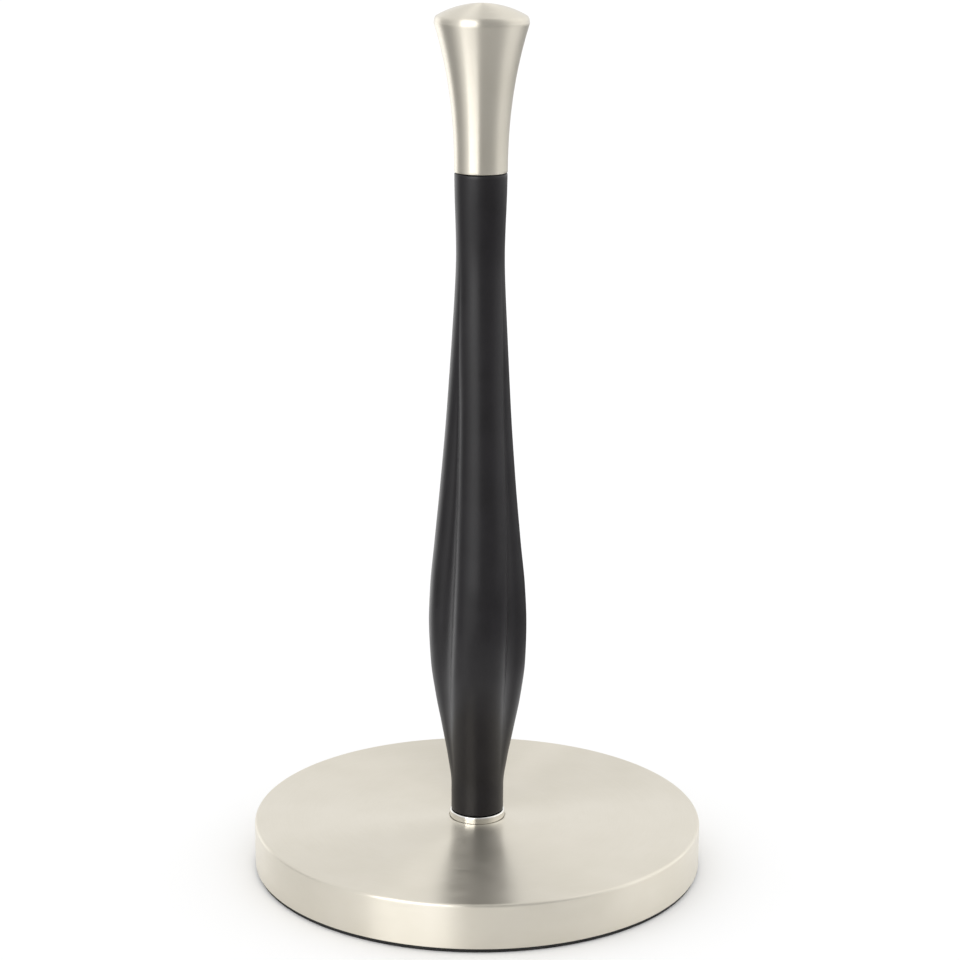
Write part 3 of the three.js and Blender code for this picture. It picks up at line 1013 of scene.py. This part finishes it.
def add_base():
    add("base_shell", base_shell(), satin_steel("satin_base", roughness=0.35, anisotropy=0.925))
    add("ballast_disc", ballast_disc(), ballast_iron())
    add("bottom_cover", bottom_cover(), cover_plastic())
    add("foot_ring", foot_ring(), foot_rubber())
    oxide = screw_steel()
    for number in (1, 2, 3):
        node = f"cover_screw_{number}"
        add(node, cover_screw(node), oxide)


def add_post():
    zinc = zinc_steel()
    spring = spring_steel()
    acetal = bush_plastic()
    add("rod", rod(), zinc)
    add("rod_nut", hex_nut("rod_nut"), zinc)
    add("rod_lock_washer", lock_washer(), zinc)
    add("rod_flat_washer", washer("rod_flat_washer"), zinc)
    add("base_hub", base_hub(), zinc)
    add("collar", collar(), polished_steel())
    add("brake_disc", brake_disc(), brake_pad())
    add("lower_bush", bush("lower_bush", spigot_up=True), acetal)
    add("core_tube", core_tube(), tube_alloy())
    add("grip_sleeve", grip_sleeve(), grip_rubber())
    add("upper_bush", bush("upper_bush", spigot_up=False), acetal)
    add("thrust_washer", washer("thrust_washer"), spring)
    add("tension_spring", tension_spring(), spring)
    add("spring_cup", washer("spring_cup"), zinc)
    add("tension_nut", hex_nut("tension_nut"), zinc)
    add("finial_shell", finial_shell(), satin_steel("satin_finial", roughness=0.4, anisotropy=0.89))
    add("finial_insert", finial_insert(), zinc)


add_base()
add_post()

# ---------------------------------------------------------------- studio

TABLE_RADIUS = 0.25
FLOOR_RADIUS = 14
# Bearing in degrees, 0 on the camera's side and positive to its right, and the studio's brightness there:
# FLOOR steeply below the horizon, TABLE less steeply, WALLS along it, and CEILING above it.
FLOOR = [
    (-180, 0.2), (-145, 0.4), (-128, 0.45), (-105, 0.38), (-88, 0.4), (-75, 0.6), (-62, 1.0), (-50, 1.0),
    (-38, 0.75), (-25, 0.55), (-12, 0.5), (5, 0.5), (50, 0.55), (66, 0.8), (82, 1.4), (112, 1.6), (180, 1.4),
]
TABLE = [
    (-180, 0.9), (-165, 1.3), (-146, 1.6), (-128, 1.5), (-116, 0.5), (-105, 0.35), (-88, 0.35), (-75, 0.6),
    (-66, 1.0), (-52, 1.0), (-40, 0.5), (-25, 0.3), (-12, 0.27), (5, 0.25), (50, 0.22), (66, 0.12),
    (135, 0.1), (160, 0.15), (180, 0.4),
]
WALLS = [
    (-180, 1.0), (-160, 1.0), (-145, 1.6), (-128, 1.6), (-117, 0.7), (-105, 0.4), (-88, 0.4), (-75, 0.75),
    (-62, 1.05), (-50, 1.0), (-38, 0.7), (-25, 0.55), (-12, 0.5), (5, 0.5), (50, 0.55), (66, 0.8),
    (82, 1.4), (120, 1.6), (140, 1.3), (160, 1.0), (180, 1.0),
]
CEILING = [
    (-180, 1.02), (-85, 1.02), (-45, 0.75), (0, 0.5), (45, 0.55), (80, 1.2), (120, 1.3), (150, 1.05),
    (180, 1.02),
]
# The sines of the elevations between which each band takes over from the one below it.
BANDS = [(TABLE, -0.5, -0.4), (WALLS, -0.16, -0.08), (CEILING, 0.12, 0.3)]
BRIGHTEST = 2.0
FLOOR_LIGHT = 1.14  # the even light that matt surfaces get, in place of the studio's bands
LAMP_TARGET = Vector((0, 0, 0.18))


def pale_paint():
    """Matt near-white paint, faintly clouded."""
    shader = Shader("floor_paint", Roughness=0.9, Specular_IOR_Level=0.0)
    cloud = shader.noise(shader.position, scale=3, detail=2)
    shader.colour(cloud, (0.93, 0.93, 0.93), (0.94, 0.94, 0.94))
    return shader.material


def make_floor():
    """Only the floor near the holder shows in reflections. The rest would hide the studio's bands there."""
    paint = pale_paint()
    sides = 128
    for name, radii in (("floor", [0, TABLE_RADIUS]), ("floor_far", [TABLE_RADIUS, FLOOR_RADIUS])):
        part = skin(name, [circle(radius, 0, sides) for radius in radii])
        part.data.materials.append(paint)
        part.visible_glossy = name == "floor"


def make_world():
    """A studio that changes in brightness round the holder, in bands one above the other.

    It shows in reflections. The camera itself sees white all round, and matt surfaces are lit evenly.
    """
    world = bpy.data.worlds.new("studio")
    bpy.context.scene.world = world
    world.use_nodes = True
    nodes = Nodes(world.node_tree)
    direction = nodes.node("ShaderNodeTexCoord").outputs["Generated"]
    split = nodes.node("ShaderNodeSeparateXYZ", {0: direction})
    to_camera = nodes.calc("MULTIPLY", split.outputs["Y"], -1)
    bearing = nodes.calc("ARCTAN2", split.outputs["X"], to_camera)
    share = nodes.spread(bearing, 0, 1, -math.pi, math.pi)

    def grey(level):
        value = level / BRIGHTEST
        return (value, value, value, 1)

    def ramp(stops):
        made = nodes.node("ShaderNodeValToRGB", {"Fac": share})
        elements = made.color_ramp.elements
        while len(elements) < len(stops):
            elements.new(0.5)
        for element, (degrees, level) in zip(elements, stops):
            element.position = (degrees + 180) / 360
            element.color = grey(level)
        return made.outputs["Color"]

    studio = ramp(FLOOR)
    for stops, low, high in BANDS:
        studio = nodes.mix(nodes.spread(split.outputs["Z"], 0, 1, low, high), studio, ramp(stops))
    path = nodes.node("ShaderNodeLightPath")
    lit = nodes.mix(path.outputs["Is Diffuse Ray"], studio, grey(FLOOR_LIGHT))
    seen = nodes.mix(path.outputs["Is Camera Ray"], lit, grey(1))
    background = nodes.tree.nodes["Background"]
    nodes.tree.links.new(seen, background.inputs["Color"])
    background.inputs["Strength"].default_value = BRIGHTEST


def make_softbox(name, bearing, elevation, distance, width, height, power):
    """A lamp aimed at the middle of the post, seen only in reflections. Its bearing is as in the bands."""
    a = math.radians(bearing)
    e = math.radians(elevation)
    outwards = Vector((math.sin(a) * math.cos(e), -math.cos(a) * math.cos(e), math.sin(e)))
    data = bpy.data.lights.new(name, "AREA")
    data.shape = "RECTANGLE"
    data.size = width
    data.size_y = height
    data.energy = power
    light = bpy.data.objects.new(name, data)
    light.location = LAMP_TARGET + outwards * distance
    light.rotation_mode = "QUATERNION"
    light.rotation_quaternion = outwards.to_track_quat("Z", "Y")
    light.visible_camera = False
    light.visible_diffuse = False
    bpy.context.scene.collection.objects.link(light)


make_floor()
make_world()
make_softbox("key", bearing=-31, elevation=17, distance=1.3, width=0.95, height=0.8, power=8.5)
bpy.context.scene.view_settings.view_transform = "Standard"
